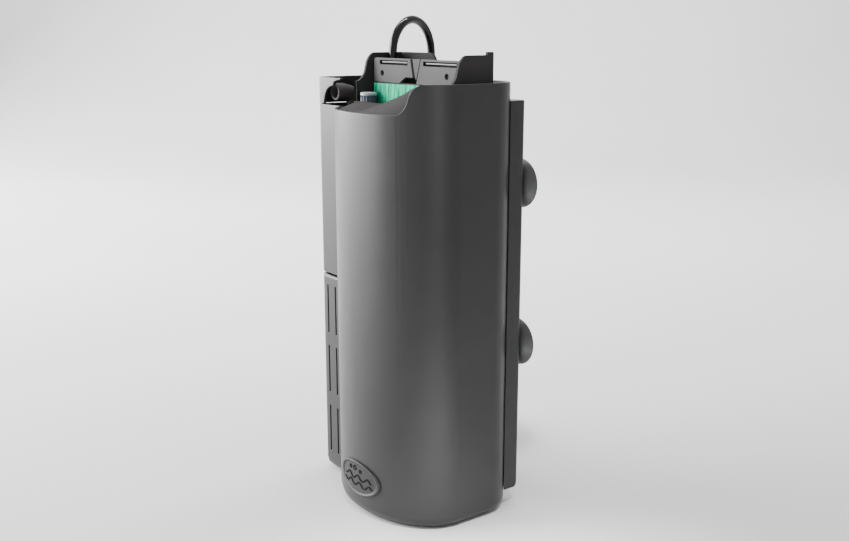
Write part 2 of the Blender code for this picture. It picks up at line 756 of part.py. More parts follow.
def make_bearings():
    front = [(1.35, -65.8), (2.6, -65.8), (2.6, -63.2), (1.35, -63.2)]
    pump_turned("bush_front", front, rubber, bored=True)
    rear = [(1.35, -24.0), (5.5, -24.0), (5.5, -22.4), (1.35, -22.4)]
    pump_turned("bush_rear", rear, rubber, bored=True)
    rim = [(4.9, -65.6), (5.6, -65.6), (5.6, -63.6), (4.9, -63.6)]
    grille = pump_turned("inlet_grille", rim, black, bored=True)
    core = [(2.95, -65.6), (3.6, -65.6), (3.6, -63.6), (2.95, -63.6)]
    hub = pump_turned("hub", core, None, bored=True)
    for i in range(4):
        angle = math.radians(45 + 90 * i)
        along = Vector((math.cos(angle), math.sin(angle)))
        across = Vector((-along.y, along.x)) * 0.5
        corners = [along * 3.3 - across, along * 5.2 - across, along * 5.2 + across, along * 3.3 + across]
        outline = [(PUMP_X + c.x, PUMP_Z + c.y) for c in corners]
        combine(hub, prism("spoke", outline, -65.4, -63.8, None, axis="Y"), "UNION")
    combine(grille, hub, "UNION")


def make_water_path():
    riser_points = [
        (STUB_X, STUB_Y, STUB_TOP_Z + GAP),
        (STUB_X, STUB_Y, STUB_TOP_Z + 9),
        (-45.0, -57.0, 71),
        (-58.0, -53.5, 84),
        (OUTLET_X, OUTLET_Y, 104),
        (OUTLET_X, OUTLET_Y, 180),
        (OUTLET_X, OUTLET_Y, RISER_TOP_Z),
    ]
    swept("riser_pipe", spline(riser_points, 9), PIPE_RADIUS, black, bore=PIPE_BORE)
    nozzle_points = [
        (OUTLET_X, OUTLET_Y, RISER_TOP_Z + GAP),
        (OUTLET_X, OUTLET_Y, NOZZLE_Z - 9),
        (OUTLET_X, OUTLET_Y - 2.6, NOZZLE_Z - 2.6),
        (OUTLET_X, OUTLET_Y - 9, NOZZLE_Z),
        (OUTLET_X, NOZZLE_TIP_Y, NOZZLE_Z),
    ]
    swept(
        "outlet_nozzle",
        spline(nozzle_points, 2.5),
        NOZZLE_RADIUS,
        black,
        bore=NOZZLE_RADIUS - 1.4,
        pivot=(OUTLET_X, OUTLET_Y, NOZZLE_Z),
    )


def make_flow_dial():
    outline = []
    for i in range(DIAL_LOBES * 4):
        angle = 2 * math.pi * i / (DIAL_LOBES * 4)
        radius = DIAL_RADIUS - 0.45 + 0.45 * math.cos(DIAL_LOBES * angle)
        outline.append((DIAL_X + radius * math.cos(angle), DIAL_Y + radius * math.sin(angle)))
    foot = (DIAL_X, DIAL_Y, DIAL_BOTTOM_Z)
    prism("flow_dial", outline, DIAL_BOTTOM_Z, DIAL_TOP_Z, clear_grey, pivot=foot)
    inner_wall = WELL_WALL - WELL_HALF + GAP
    bracket = block("regulator_bracket", (inner_wall, DIAL_X + 4), (-59.5, -52.0), (250, 255), black)
    stem = [(2.2, 253), (2.2, DIAL_BOTTOM_Z - GAP)]
    combine(bracket, turned("stem", (DIAL_X, DIAL_Y), stem, None, segments=12), "UNION")


# ---------------------------------------------------------------- media below the cartridge


def make_media():
    inner = WELL_HALF - WELL_WALL - GAP
    front = WELL_FRONT_Y + WELL_WALL + GAP
    back = WELL_BACK_Y - WELL_WALL - GAP
    grid_outline = [
        (-inner, front + 2),
        (-inner + 2, front),
        (inner - 2, front),
        (inner, front + 2),
        (inner, back - 2),
        (inner - 2, back),
        (-38.6, back),
        (-38.6, -40),
        (-inner, -40),
    ]
    grid = prism("support_grid", grid_outline, WELL_BOTTOM_Z + 1, WELL_BOTTOM_Z + 4, black)
    for i in range(8):
        x = -30 + 10 * i
        combine(grid, block("slot", (x, x + 5), (-58, -29), (80, 100), None))

    x, y, z = (-37.5, 46.3), (-60.3, -27.0), (WELL_BOTTOM_Z + 4.4, 169.0)
    wall = 1.3

    def rectangle(grow, height):
        return [
            (x[0] + grow, y[0] + grow, height),
            (x[1] - grow, y[0] + grow, height),
            (x[1] - grow, y[1] - grow, height),
            (x[0] + grow, y[1] - grow, height),
        ]

    outside = [rectangle(0, z[0]), rectangle(0, z[1])]
    inside = [rectangle(wall, z[1]), rectangle(wall, z[0] + wall)]
    loft("media_basket", outside + inside, black)
    foam = wall + GAP
    block(
        "bio_foam",
        (x[0] + foam, x[1] - foam),
        (y[0] + foam, y[1] - foam),
        (z[0] + foam, z[1] - 2),
        foam_blue,
    )


# ---------------------------------------------------------------- cord


def cord_tube(name, route):
    """A round rod on a smooth line through the route's points."""
    curve = bpy.data.curves.new(name, "CURVE")
    curve.dimensions = "3D"
    curve.bevel_depth = CORD_RADIUS * MM
    curve.bevel_resolution = 2
    curve.use_fill_caps = True
    curve.materials.append(cord_black)
    path = spline(route, CORD_POINT_SPACING)
    line = curve.splines.new("POLY")
    line.points.add(len(path) - 1)
    for vertex, place in zip(line.points, path):
        vertex.co = (*point(*place), 1.0)
    tube = bpy.data.objects.new(name, curve)
    bpy.context.scene.collection.objects.link(tube)
    tube.parent = box_frame


def make_cord():
    x, y, exit_z = CORD_ROUTE[0]
    gland = [(5.0, GLAND_BOTTOM_Z), (5.0, 47.0), (4.0, 50.0), (3.3, exit_z - GAP)]
    turned("cord_gland", (x, y), gland, black, segments=14)
    cord_tube("power_cord", CORD_ROUTE)
    ring = [
        (COIL_INNER, COIL_BOTTOM_Z),
        (COIL_OUTER, COIL_BOTTOM_Z),
        (COIL_OUTER, COIL_TOP_Z),
        (COIL_INNER, COIL_TOP_Z),
    ]
    turned("cord_coil", (COIL_X, COIL_Y), ring, cord_black, segments=32, bored=True)
    cord_tube("cord_tail", CORD_TAIL_ROUTE)


def make_plug():
    """A flat two-pin plug that lies beside the coil, with its pins towards the front."""
    steps = ((0, 3.6), (10, 4.6), (17, 8.5), (PLUG_LENGTH - 4, 13.0), (PLUG_LENGTH, 13.0))
    right = [(COIL_EXIT_X + half, PLUG_ENTRY_Y - along) for along, half in steps]
    left = [(COIL_EXIT_X - half, PLUG_ENTRY_Y - along) for along, half in reversed(steps)]
    prism("plug_body", right + left, COIL_BOTTOM_Z, PLUG_HEIGHT, cord_black)
    face_y = PLUG_ENTRY_Y - PLUG_LENGTH - GAP
    for number, side in enumerate((-1, 1), 1):
        pin_x = COIL_EXIT_X + side * PIN_SPACING / 2
        pin = [(2.0, face_y), (2.0, face_y - PIN_LENGTH + 1.0), (1.2, face_y - PIN_LENGTH)]
        centre = (pin_x, (COIL_BOTTOM_Z + PLUG_HEIGHT) / 2)
        turned(f"plug_pin_{number}", centre, pin, brass, axis="Y", segments=12)


clear_scene()
box_frame = bpy.data.objects.new("box_frame", None)
bpy.context.scene.collection.objects.link(box_frame)
box_frame.location = point(FRAME_X, FRAME_Y, 0)

graphite = make_material("graphite_plastic", (0.06, 0.06, 0.063), 0.42)
black = make_material("black_plastic", (0.015, 0.015, 0.016), 0.4)
grey = make_material("grey_plastic", (0.30, 0.30, 0.30), 0.5)
rubber = make_material("suction_rubber", (0.05, 0.052, 0.055), 0.5)
fleece = make_material("green_fleece", (0.10, 0.55, 0.33), 0.9)
carbon = make_material("activated_carbon", (0.02, 0.02, 0.02), 0.9)
foam_blue = make_material("filter_foam", (0.05, 0.07, 0.10), 0.95)
white = make_material("white_plastic", (0.75, 0.75, 0.73), 0.4)
clear_grey = make_material("dial_plastic", (0.30, 0.33, 0.40), 0.3)
ferrite = make_material("ferrite", (0.04, 0.04, 0.045), 0.5, 0.3)
ceramic = make_material("ceramic", (0.85, 0.85, 0.82), 0.25)
cord_black = make_material("cord_black", (0.012, 0.012, 0.014), 0.3)
brass = make_material("plated_brass", (0.72, 0.70, 0.66), 0.25, 1.0)

make_shell_body()
make_intake_cover()
make_outlet_cowl()
make_chamber_insert()
make_mounting_plate()
make_suction_cups()
make_badge()
make_cartridge()
make_handle()
make_pump()
make_impeller()
make_bearings()
make_water_path()
make_flow_dial()
make_media()
make_cord()
make_plug()
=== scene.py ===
"""Internal aquarium filter: the finished surfaces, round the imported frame.

Lengths are in metres. at(x, y, z) takes millimetres from the middle of the rounded front, the back
face of the mounting plate and the underside of the housing, and gives a point of the frame.
"""

import json
import math

import bmesh
import bpy
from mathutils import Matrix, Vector, noise


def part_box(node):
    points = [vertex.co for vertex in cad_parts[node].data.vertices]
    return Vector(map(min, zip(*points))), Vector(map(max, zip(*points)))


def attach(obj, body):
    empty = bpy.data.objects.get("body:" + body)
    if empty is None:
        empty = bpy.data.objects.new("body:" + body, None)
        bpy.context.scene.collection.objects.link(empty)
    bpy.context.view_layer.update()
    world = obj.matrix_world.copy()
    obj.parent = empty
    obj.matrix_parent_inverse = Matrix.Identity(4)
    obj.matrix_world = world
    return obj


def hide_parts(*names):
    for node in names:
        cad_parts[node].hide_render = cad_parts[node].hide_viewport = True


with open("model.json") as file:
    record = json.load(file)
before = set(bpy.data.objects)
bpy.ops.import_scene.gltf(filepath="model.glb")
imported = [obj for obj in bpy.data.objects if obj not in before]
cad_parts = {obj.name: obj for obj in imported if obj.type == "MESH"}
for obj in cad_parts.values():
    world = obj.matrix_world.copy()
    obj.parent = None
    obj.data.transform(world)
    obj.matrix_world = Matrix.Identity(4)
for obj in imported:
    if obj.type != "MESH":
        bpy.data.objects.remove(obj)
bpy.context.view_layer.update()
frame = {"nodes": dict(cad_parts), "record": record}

MM = 0.001
SHELL_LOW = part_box("shell_body")[0]
WING_LEFT = 80.5
NOSE_HALF_WIDTH = 56.5
NOSE_START = 54.0
NOSE_DEPTH = 41.5
NOSE_FRONT = NOSE_START + NOSE_DEPTH
ORIGIN = Vector((SHELL_LOW[0] + WING_LEFT * MM, SHELL_LOW[1] + NOSE_FRONT * MM, 0.0))

CAMERA_PLACE = (538.7, -442.0, 315.1)
CAMERA_AZIMUTH = 53.32
CAMERA_PITCH = 13.19
CAMERA_LENS = 44.19

FLOOR_DARK = (0.56, 0.56, 0.56)
FLOOR_LIGHT = (0.58, 0.58, 0.58)
SWEEP_DROP = 0.0002
SWEEP_FLAT = 1.6
SWEEP_COVE = 1.2

AIM_HEIGHT = 0.15
# Strength of the world, radiances of the soft boxes, and watts of the spot on the floor in front.
WORLD = 0.9
KEY = 19.0
FILL = 3.0
WASH = 60.0
WASH_AIM = (-2.2, 1.6, 0.4)
POOL = 360.0
POOL_PLACE = (0.62, -0.26, 1.1)
POOL_AIM = (0.215, -0.085, 0.0)

CORD_DIAMETER = 0.0056
COIL_CENTRE = (-0.066, 0.050)
COIL_OUTER_TURN = 0.0348
COIL_INNER_TURN = 0.0219
COIL_START = math.radians(-46.75)
COIL_END = math.radians(180 + 4 * 360)
UPPER_LAYER_Z = 0.0089
LOWER_LAYER_Z = 0.0031
COIL_UPPER_TURN = math.radians(2.2 * 360)
COIL_DROP_TURN = math.radians(120)
TIE_ANGLE = math.radians(100)
TIE_DISTANCE = 0.02825
TIE_TOP = 0.0117
TIE_FOOT = 0.0001
TIE_HALF = 0.0093
TIE_CORNER = 0.0028
TIE_HALF_BREADTH = 0.0018
# The route of part.py, in metres from the same origin as at().
CORD_ROUTE = (
    (-0.0438, -0.0345, 0.0660),
    (-0.0438, -0.0345, 0.0780),
    (-0.0439, -0.0345, 0.1100),
    (-0.0440, -0.0345, 0.1600),
    (-0.0440, -0.0345, 0.2100),
    (-0.0440, -0.0345, 0.2580),
    (-0.0440, -0.0345, 0.2840),
    (-0.0440, -0.0345, 0.2966),
    (-0.0446, -0.0328, 0.3054),
    (-0.0462, -0.0281, 0.3129),
    (-0.0486, -0.0211, 0.3178),
    (-0.0514, -0.0128, 0.3196),
    (-0.0542, -0.0044, 0.3178),
    (-0.0566, 0.0026, 0.3129),
    (-0.0582, 0.0073, 0.3054),
    (-0.0588, 0.0090, 0.2966),
    (-0.0588, 0.0090, 0.2840),
    (-0.0588, 0.0090, 0.2400),
    (-0.0588, 0.0090, 0.1700),
    (-0.0588, 0.0090, 0.1000),
    (-0.0588, 0.0090, 0.0600),
    (-0.0588, 0.0090, 0.0360),
    (-0.0582, 0.0095, 0.0257),
    (-0.0566, 0.0111, 0.0202),
    (-0.0533, 0.0142, 0.0147),
    (-0.0479, 0.0193, 0.0102),
)
CORD_TAIL = (
    (-0.1008, 0.0400, 0.0040),
    (-0.1008, 0.0292, 0.0066),
    (-0.1008, 0.0215, 0.0069),
)


def at(x, y, z):
    return ORIGIN + Vector((x, y, z)) * MM


# ---------------------------------------------------------------- node materials


def new_material(name):
    material = bpy.data.materials.new(name)
    material.use_nodes = True
    return material, material.node_tree, material.node_tree.nodes["Principled BSDF"]


def object_noise(tree, scale, detail=3.0, stretch=(1.0, 1.0, 1.0)):
    """A noise texture in object space, with its coordinates stretched."""
    coordinates = tree.nodes.new("ShaderNodeTexCoord")
    mapping = tree.nodes.new("ShaderNodeMapping")
    mapping.inputs["Scale"].default_value = stretch
    texture = tree.nodes.new("ShaderNodeTexNoise")
    texture.inputs["Scale"].default_value = scale
    texture.inputs["Detail"].default_value = detail
    tree.links.new(coordinates.outputs["Object"], mapping.inputs["Vector"])
    tree.links.new(mapping.outputs["Vector"], texture.inputs["Vector"])
    return texture


def vary_colour(tree, shader, texture, dark, light):
    """Runs the base colour from dark to light with the texture."""
    ramp = tree.nodes.new("ShaderNodeValToRGB")
    ramp.color_ramp.elements[0].position = 0.35
    ramp.color_ramp.elements[0].color = (*dark, 1.0)
    ramp.color_ramp.elements[1].position = 0.65
    ramp.color_ramp.elements[1].color = (*light, 1.0)
    tree.links.new(texture.outputs["Fac"], ramp.inputs["Fac"])
    tree.links.new(ramp.outputs["Color"], shader.inputs["Base Color"])


def vary_roughness(tree, shader, texture, low, high):
    """Runs the roughness from low to high with the texture."""
    spread = tree.nodes.new("ShaderNodeMapRange")
    spread.inputs["From Min"].default_value = 0.3
    spread.inputs["From Max"].default_value = 0.7
    spread.inputs["To Min"].default_value = low
    spread.inputs["To Max"].default_value = high
    tree.links.new(texture.outputs["Fac"], spread.inputs["Value"])
    tree.links.new(spread.outputs["Result"], shader.inputs["Roughness"])


def add_bump(tree, shader, texture, strength, distance):
    """Raises the surface by the texture, up to a distance in metres."""
    bump = tree.nodes.new("ShaderNodeBump")
    bump.inputs["Strength"].default_value = strength
    bump.inputs["Distance"].default_value = distance
    tree.links.new(texture.outputs["Fac"], bump.inputs["Height"])
    tree.links.new(bump.outputs["Normal"], shader.inputs["Normal"])


def moulded(name, dark, light, rough, grain=1400.0, strength=0.12, level=0.5):
    """Injection-moulded plastic: cloudy colour, uneven gloss and a fine grain from the tool."""
    material, tree, shader = new_material(name)
    shader.inputs["Specular IOR Level"].default_value = level
    vary_colour(tree, shader, object_noise(tree, 22.0), dark, light)
    vary_roughness(tree, shader, object_noise(tree, 60.0, 4.0), *rough)
    add_bump(tree, shader, object_noise(tree, grain, 2.0), strength, 0.00008)
    return material


def fibrous(name, dark, light, scale, stretch, sheen):
    """Fibres: a noise stretched along the fibres, in colour and in relief."""
    material, tree, shader = new_material(name)
    shader.inputs["Roughness"].default_value = 0.85
    shader.inputs["Sheen Weight"].default_value = sheen
    shader.inputs["Sheen Roughness"].default_value = 0.5
    shader.inputs["Specular IOR Level"].default_value = 0.1
    vary_colour(tree, shader, object_noise(tree, scale, 5.0, stretch), dark, light)
    add_bump(tree, shader, object_noise(tree, scale * 2.2, 4.0, stretch), 0.6, 0.0006)
    return material


def cellular(name, dark, light, scale, rough, distance):
    """Grains or pores: a Voronoi pattern pushes the gaps between cells in and darkens them with painted
    shade.
    """
    material, tree, shader = new_material(name)
    shader.inputs["Roughness"].default_value = rough
    coordinates = tree.nodes.new("ShaderNodeTexCoord")
    cells = tree.nodes.new("ShaderNodeTexVoronoi")
    cells.inputs["Scale"].default_value = scale
    # The ramp from light cell middles to dark gaps is painted shade in the hollows between grains and in
    # the pores.
    ramp = tree.nodes.new("ShaderNodeValToRGB")
    ramp.color_ramp.elements[0].color = (*light, 1.0)
    ramp.color_ramp.elements[1].color = (*dark, 1.0)
    ramp.color_ramp.elements[1].position = 0.7
    bump = tree.nodes.new("ShaderNodeBump")
    bump.invert = True
    bump.inputs["Distance"].default_value = distance
    tree.links.new(coordinates.outputs["Object"], cells.inputs["Vector"])
    tree.links.new(cells.outputs["Distance"], ramp.inputs["Fac"])
    tree.links.new(cells.outputs["Distance"], bump.inputs["Height"])
    tree.links.new(ramp.outputs["Color"], shader.inputs["Base Color"])
    tree.links.new(bump.outputs["Normal"], shader.inputs["Normal"])
    return material


def metal(name, colour, rough):
    material, tree, shader = new_material(name)
    shader.inputs["Metallic"].default_value = 1.0
    shader.inputs["Base Color"].default_value = (*colour, 1.0)
    vary_roughness(tree, shader, object_noise(tree, 900.0, 3.0, (1.0, 0.08, 1.0)), *rough)
    return material


def make_materials():
    clear, tree, shader = new_material("clear_cap")
    shader.inputs["Transmission Weight"].default_value = 0.45
    shader.inputs["IOR"].default_value = 1.49
    vary_colour(tree, shader, object_noise(tree, 300.0), (0.50, 0.53, 0.57), (0.66, 0.69, 0.72))
    vary_roughness(tree, shader, object_noise(tree, 500.0), 0.18, 0.3)
    plastics = {
        "graphite_plastic": (0.013, 0.016, (0.34, 0.40), 0.4),
        "satin_graphite": (0.016, 0.020, (0.50, 0.58), 0.3),
        "grey_plastic": (0.075, 0.088, (0.6, 0.7), 0.06),
        "pale_plastic": (0.20, 0.24, (0.35, 0.45), 0.3),
        # slot_black is near-black painted shade: the shade inside the handle slots and along the badge's
        # raised motif.
        "slot_black": (0.006, 0.010, (0.7, 0.8), 0.05),
    }
    made = {
        name: moulded(name, (dark,) * 3, (light,) * 3, rough, level=level)
        for name, (dark, light, rough, level) in plastics.items()
    }
    tinted = {
        "graphite_inner": ((0.032, 0.030, 0.030), (0.038, 0.036, 0.036), (0.6, 0.7), 0.04),
        "black_plastic": ((0.010, 0.010, 0.011), (0.015, 0.015, 0.016), (0.3, 0.42), 0.5),
        "dusty_black": ((0.050, 0.046, 0.046), (0.062, 0.058, 0.058), (0.6, 0.7), 0.1),
        "white_plastic": ((0.68, 0.68, 0.66), (0.76, 0.76, 0.74), (0.3, 0.4), 0.5),
        "dial_plastic": ((0.035, 0.042, 0.058), (0.050, 0.060, 0.080), (0.35, 0.45), 0.25),
    }
    for name, (dark, light, rough, level) in tinted.items():
        made[name] = moulded(name, dark, light, rough, level=level)
    made["suction_rubber"] = moulded(
        "rubber", (0.035, 0.036, 0.038), (0.045, 0.046, 0.048), (0.38, 0.5), 900.0
    )
    made["ferrite"] = moulded(
        "ferrite", (0.03, 0.03, 0.034), (0.05, 0.05, 0.054), (0.4, 0.55), 2400.0, 0.3
    )
    made["ceramic"] = moulded(
        "ceramic", (0.80, 0.80, 0.77), (0.86, 0.86, 0.83), (0.15, 0.22), 2000.0, 0.03
    )
    made["cord_black"] = moulded("pvc", (0.004,) * 3, (0.006,) * 3, (0.10, 0.16), 700.0, 0.06, 0.3)
    made["green_fleece"] = fibrous(
        "fleece", (0.002, 0.15, 0.07), (0.02, 0.58, 0.32), 420.0, (1.0, 1.0, 0.12), 0.02
    )
    made["activated_carbon"] = cellular("carbon", (0.004,) * 3, (0.05,) * 3, 480.0, 0.7, 0.0008)
    made["filter_foam"] = cellular(
        "foam", (0.004, 0.006, 0.01), (0.05, 0.07, 0.11), 520.0, 0.95, 0.0007
    )
    made["plated_pins"] = metal("nickel", (0.70, 0.67, 0.62), (0.18, 0.32))
    made["clear_cap"] = clear
    return made


# ---------------------------------------------------------------- mesh helpers


def new_piece(name, mesh, body, slot, look=None, replaced=()):
    """An object that rides on a body, in the look given or else in the material of the record's slot."""
    piece = bpy.data.objects.new(name, mesh)
    bpy.context.scene.collection.objects.link(piece)
    mesh.materials.clear()
    mesh.materials.append(looks[look or slot])
    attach(piece, body)
    if replaced:
        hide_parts(*replaced)
    return piece


def mesh_from(build, name):
    """Runs build on an empty bmesh and returns the mesh, with its normals out and shaded smooth."""
    data = bmesh.new()
    build(data)
    bmesh.ops.recalc_face_normals(data, faces=data.faces)
    mesh = bpy.data.meshes.new(name)
    data.to_mesh(mesh)
    data.free()
    mesh.shade_smooth()
    return mesh


def bridge(data, rings):
    """Joins each ring of vertices to the next with quads."""
    for one, two in zip(rings, rings[1:]):
        for i in range(len(one)):
            j = (i + 1) % len(one)
            data.faces.new((one[i], one[j], two[j], two[i]))


def add_bevel(piece, width, loose):
    bevel = piece.modifiers.new("edges", "BEVEL")
    bevel.limit_method = "ANGLE"
    bevel.angle_limit = math.radians(32)
    bevel.width = width
    bevel.segments = 3
    bevel.use_clamp_overlap = not loose
    normals = piece.modifiers.new("normals", "WEIGHTED_NORMAL")
    normals.keep_sharp = True
    return piece


def body_of(node):
    bodies = frame["record"]["behaviour"]["bodies"]
    return next(body for body, nodes in bodies.items() if node in nodes)


def slot_of(node):
    return next(s["material_slot"] for s in frame["record"]["subparts"] if s["node"] == node)


def softened(node, width, look=None, split=False, loose=False):
    """The CAD node's own shape with its edges rounded, in its place.

    split cuts up large faces first, and loose lets the rounding pass beyond the shortest edge.
    """
    mesh = frame["nodes"][node].data.copy()
    data = bmesh.new()
    data.from_mesh(mesh)
    bmesh.ops.remove_doubles(data, verts=data.verts, dist=2e-6)
    bmesh.ops.dissolve_limit(data, angle_limit=math.radians(0.4), verts=data.verts, edges=data.edges)
    if split:
        many_sided = [face for face in data.faces if len(face.verts) > 4]
        bmesh.ops.triangulate(data, faces=many_sided)
    data.to_mesh(mesh)
    data.free()
    if mesh.has_custom_normals:
        mesh.normals_split_custom_set([(0.0, 0.0, 0.0)] * len(mesh.loops))
    mesh.shade_smooth()
    piece = new_piece(node + "_skin", mesh, body_of(node), slot_of(node), look, (node,))
    return add_bevel(piece, width, loose)


def turned_mesh(name, centre, profile, axis, segments):
    """Turns (radius, height) points, in mm, about an axis through centre. A radius of 0 is a tip."""
    places = {
        "Y": lambda a, b, h: at(centre[0] + a, h, centre[1] + b),
        "Z": lambda a, b, h: at(centre[0] + a, centre[1] + b, h),
    }[axis]

    def build(data):
        rings = []
        for radius, height in profile:
            if radius == 0:
                rings.append([data.verts.new(places(0, 0, height))])
                continue
            angles = [2 * math.pi * i / segments for i in range(segments)]
            ring = [places(radius * math.cos(a), radius * math.sin(a), height) for a in angles]
            rings.append([data.verts.new(p) for p in ring])
        for low, high in zip(rings, rings[1:]):
            for i in range(segments):
                j = (i + 1) % segments
                corners = [low[i % len(low)], low[j % len(low)], high[j % len(high)], high[i % len(high)]]
                data.faces.new(list(dict.fromkeys(corners)))
        for ring in (rings[0], rings[-1]):
            if len(ring) > 1:
                data.faces.new(ring)

    return mesh_from(build, name)


def smooth_line(points, spacing):
    """Points about spacing apart on a smooth curve through the given ones (centripetal Catmull-Rom)."""
    knots = [Vector(p) for p in points]
    knots = [2 * knots[0] - knots[1]] + knots + [2 * knots[-1] - knots[-2]]
    dense = []
    for p0, p1, p2, p3 in zip(knots, knots[1:], knots[2:], knots[3:]):
        t1 = (p1 - p0).length ** 0.5
        t2 = t1 + (p2 - p1).length ** 0.5
        t3 = t2 + (p3 - p2).length ** 0.5
        for i in range(12):
            t = t1 + (t2 - t1) * i / 12
            a1 = p0.lerp(p1, t / t1)
            a2 = p1.lerp(p2, (t - t1) / (t2 - t1))
            a3 = p2.lerp(p3, (t - t2) / (t3 - t2))
            b1 = a1.lerp(a2, t / t2)
            b2 = a2.lerp(a3, (t - t1) / (t3 - t1))
            dense.append(b1.lerp(b2, (t - t1) / (t2 - t1)))
    dense.append(knots[-2])
    lengths = [0.0]
    for a, b in zip(dense, dense[1:]):
        lengths.append(lengths[-1] + (b - a).length)
    count = max(2, round(lengths[-1] / spacing))
    spaced, j = [], 0
    for i in range(count + 1):
        goal = lengths[-1] * i / count
        while j < len(dense) - 2 and lengths[j + 1] < goal:
            j += 1
        span = max(lengths[j + 1] - lengths[j], 1e-9)
        spaced.append(dense[j].lerp(dense[j + 1], min(1.0, (goal - lengths[j]) / span)))
    return spaced


def curve_piece(name, path, radius, body, slot, look=None, replaced=()):
    """A round rod along the path, with its ends closed."""
    curve = bpy.data.curves.new(name, "CURVE")
    curve.dimensions = "3D"
    curve.bevel_depth = radius
    curve.bevel_resolution = 4
    curve.use_fill_caps = True
    line = curve.splines.new("POLY")
    line.points.add(len(path) - 1)
    for vertex, place in zip(line.points, path):
        vertex.co = (*place, 1.0)
    line.use_smooth = True
    return new_piece(name, curve, body, slot, look, replaced)


# ---------------------------------------------------------------- camera, cord and plug


def make_camera():
    data = bpy.data.cameras.new("camera")
    data.lens = CAMERA_LENS
    data.clip_start = 0.02
    camera = bpy.data.objects.new("camera", data)
    bpy.context.scene.collection.objects.link(camera)
    camera.location = at(*CAMERA_PLACE)
    camera.rotation_euler = (math.radians(90 - CAMERA_PITCH), 0.0, math.radians(CAMERA_AZIMUTH))
    bpy.context.scene.camera = camera


def coil_points():
    """Inwards in the upper layer, down on the inside, and outwards in the lower layer."""
    upper, turn_down = COIL_UPPER_TURN, COIL_DROP_TURN
    lower = COIL_END - COIL_START - upper - turn_down
    points = []
    steps = 96
    for i in range(steps + 1):
        angle = (COIL_END - COIL_START) * i / steps
        if angle < upper:
            share, drop = angle / upper, 0.0
        elif angle < upper + turn_down:
            share, drop = 1.0, (angle - upper) / turn_down
        else:
            share, drop = 1 - (angle - upper - turn_down) / lower, 1.0
        drop = drop * drop * (3 - 2 * drop)
        radius = COIL_OUTER_TURN + (COIL_INNER_TURN - COIL_OUTER_TURN) * share
        height = UPPER_LAYER_Z + (LOWER_LAYER_Z - UPPER_LAYER_Z) * drop
        around = COIL_START + angle
        x = COIL_CENTRE[0] + radius * math.cos(around)
        y = COIL_CENTRE[1] + radius * math.sin(around)
        points.append((x, y, height))
    return points


def make_cord():
    route = [ORIGIN + Vector(p) for p in (*CORD_ROUTE, *coil_points(), *CORD_TAIL)]
    cord = curve_piece(
        "mains_cord",
        smooth_line(route, 0.003),
        CORD_DIAMETER / 2,
        "housing",
        "cord_black",
        replaced=("power_cord", "cord_coil", "cord_tail"),
    )


def make_coil_tie():
    """A flat band round the coil's bundle of turns."""
    along = Vector((math.cos(TIE_ANGLE), math.sin(TIE_ANGLE), 0.0))
    across = Vector((-along.y, along.x, 0.0))
    centre = ORIGIN + Vector((*COIL_CENTRE, 0.0)) + along * TIE_DISTANCE
    reach = TIE_HALF - TIE_CORNER
    outline = []
    for a, z, start in (
        (reach, TIE_FOOT + TIE_CORNER, -90),
        (reach, TIE_TOP - TIE_CORNER, 0),
        (-reach, TIE_TOP - TIE_CORNER, 90),
        (-reach, TIE_FOOT + TIE_CORNER, 180),
    ):
        for i in range(7):
            turn = math.radians(start + 15 * i)
            outline.append((a + TIE_CORNER * math.cos(turn), z + TIE_CORNER * math.sin(turn)))
    inside = [(a * 29 / 30, TIE_FOOT + 0.0003 + (z - TIE_FOOT) * 0.955) for a, z in outline]

    def build(data):
        rings = []
        for line, side in ((outline, -1), (outline, 1), (inside, 1), (inside, -1)):
            ring = []
            for a, z in line:
                place = centre + along * a + across * side * TIE_HALF_BREADTH
                ring.append(data.verts.new((place.x, place.y, z)))
            rings.append(ring)
        bridge(data, rings + rings[:1])

    return new_piece("coil_tie", mesh_from(build, "coil_tie"), "housing", "cord_black")


def make_plug():
    """A moulded two-pin plug with grip ribs and a ribbed strain relief."""
    low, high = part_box("plug_body")
    centre_x, centre_z = (low[0] + high[0]) / 2, (low[2] + high[2]) / 2
    back, front = high[1], low[1]
    half_height = (high[2] - low[2]) / 2
    stations = []
    for i in range(9):
        share = i / 8
        rib = 0.0005 if i % 2 else 0.0
        wide, tall = 0.0035 + 0.0009 * share + rib, 0.0035 + 0.0014 * share + rib
        stations.append((back - 0.012 * share, wide, tall))
    for i in range(1, 17):
        share = i / 16
        swell = share * share * (3 - 2 * share)
        rib = 0.00035 if 6 <= i <= 11 and i % 2 else 0.0
        half_width = 0.0046 + (0.0130 - 0.0046) * swell - rib
        tall = 0.0050 + (half_height - 0.0050) * min(1.0, 1.6 * swell)
        stations.append((back - 0.012 - (back - 0.012 - front) * share, half_width, tall))
    stations.append((front, 0.0122, half_height - 0.0007))

    def squarish(value):
        return math.copysign(abs(value) ** 0.55, value)

    def build(data):
        rings = []
        for y, wide, tall in stations:
            ring = []
            for i in range(40):
                angle = 2 * math.pi * i / 40
                a = squarish(math.cos(angle)) * wide
                b = squarish(math.sin(angle)) * tall
                ring.append(data.verts.new((centre_x + a, y, centre_z + b)))
            rings.append(ring)
        bridge(data, rings)
        data.faces.new(rings[0])
        data.faces.new(rings[-1])

    plug = new_piece("plug", mesh_from(build, "plug"), "housing", "cord_black", replaced=("plug_body",))
    pins = [softened(node, 0.0003) for node in ("plug_pin_1", "plug_pin_2")]
    return [plug, *pins]


